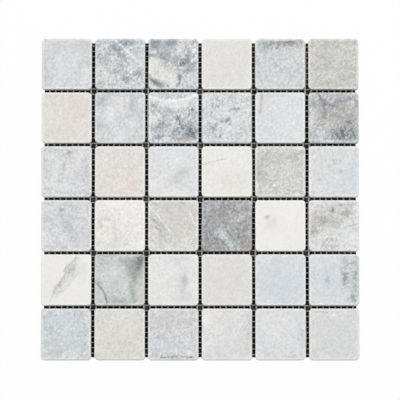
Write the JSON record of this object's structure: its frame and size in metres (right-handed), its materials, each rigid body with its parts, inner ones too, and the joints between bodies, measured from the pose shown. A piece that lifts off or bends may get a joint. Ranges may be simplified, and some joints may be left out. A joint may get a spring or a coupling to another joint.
{
  "type": "mosaic tile sheet",
  "caption": "Square sheet of tumbled grey and white marble mosaic, small tiles set at an even joint on a light glass-fibre net over a thin black backing film.",
  "frame": {"origin": "middle of the sheet's underside", "axes": "+Z out of the stone face, +X to the right along the tile rows, +Y up the tile columns towards row 1"},
  "size_m": [0.2998, 0.3052, 0.01],
  "materials": {
    "marble": "tumbled matte, grey and white with clouds and veins",
    "glass_fibre_net": "woven, coated, matte",
    "black_film": "matte black"
  },
  "bodies": {
    "root": {"tile_r1_c1": "marble", "tile_r1_c2": "marble", "tile_r1_c3": "marble", "tile_r1_c4": "marble", "tile_r1_c5": "marble", "tile_r1_c6": "marble", "tile_r2_c1": "marble", "tile_r2_c2": "marble", "tile_r2_c3": "marble", "tile_r2_c4": "marble", "tile_r2_c5": "marble", "tile_r2_c6": "marble", "tile_r3_c1": "marble", "tile_r3_c2": "marble", "tile_r3_c3": "marble", "tile_r3_c4": "marble", "tile_r3_c5": "marble", "tile_r3_c6": "marble", "tile_r4_c1": "marble", "tile_r4_c2": "marble", "tile_r4_c3": "marble", "tile_r4_c4": "marble", "tile_r4_c5": "marble", "tile_r4_c6": "marble", "tile_r5_c1": "marble", "tile_r5_c2": "marble", "tile_r5_c3": "marble", "tile_r5_c4": "marble", "tile_r5_c5": "marble", "tile_r5_c6": "marble", "tile_r6_c1": "marble", "tile_r6_c2": "marble", "tile_r6_c3": "marble", "tile_r6_c4": "marble", "tile_r6_c5": "marble", "tile_r6_c6": "marble", "net_weft_threads": "glass_fibre_net", "net_warp_threads": "glass_fibre_net", "backing_film": "black_film"}
  },
  "joints": []
}
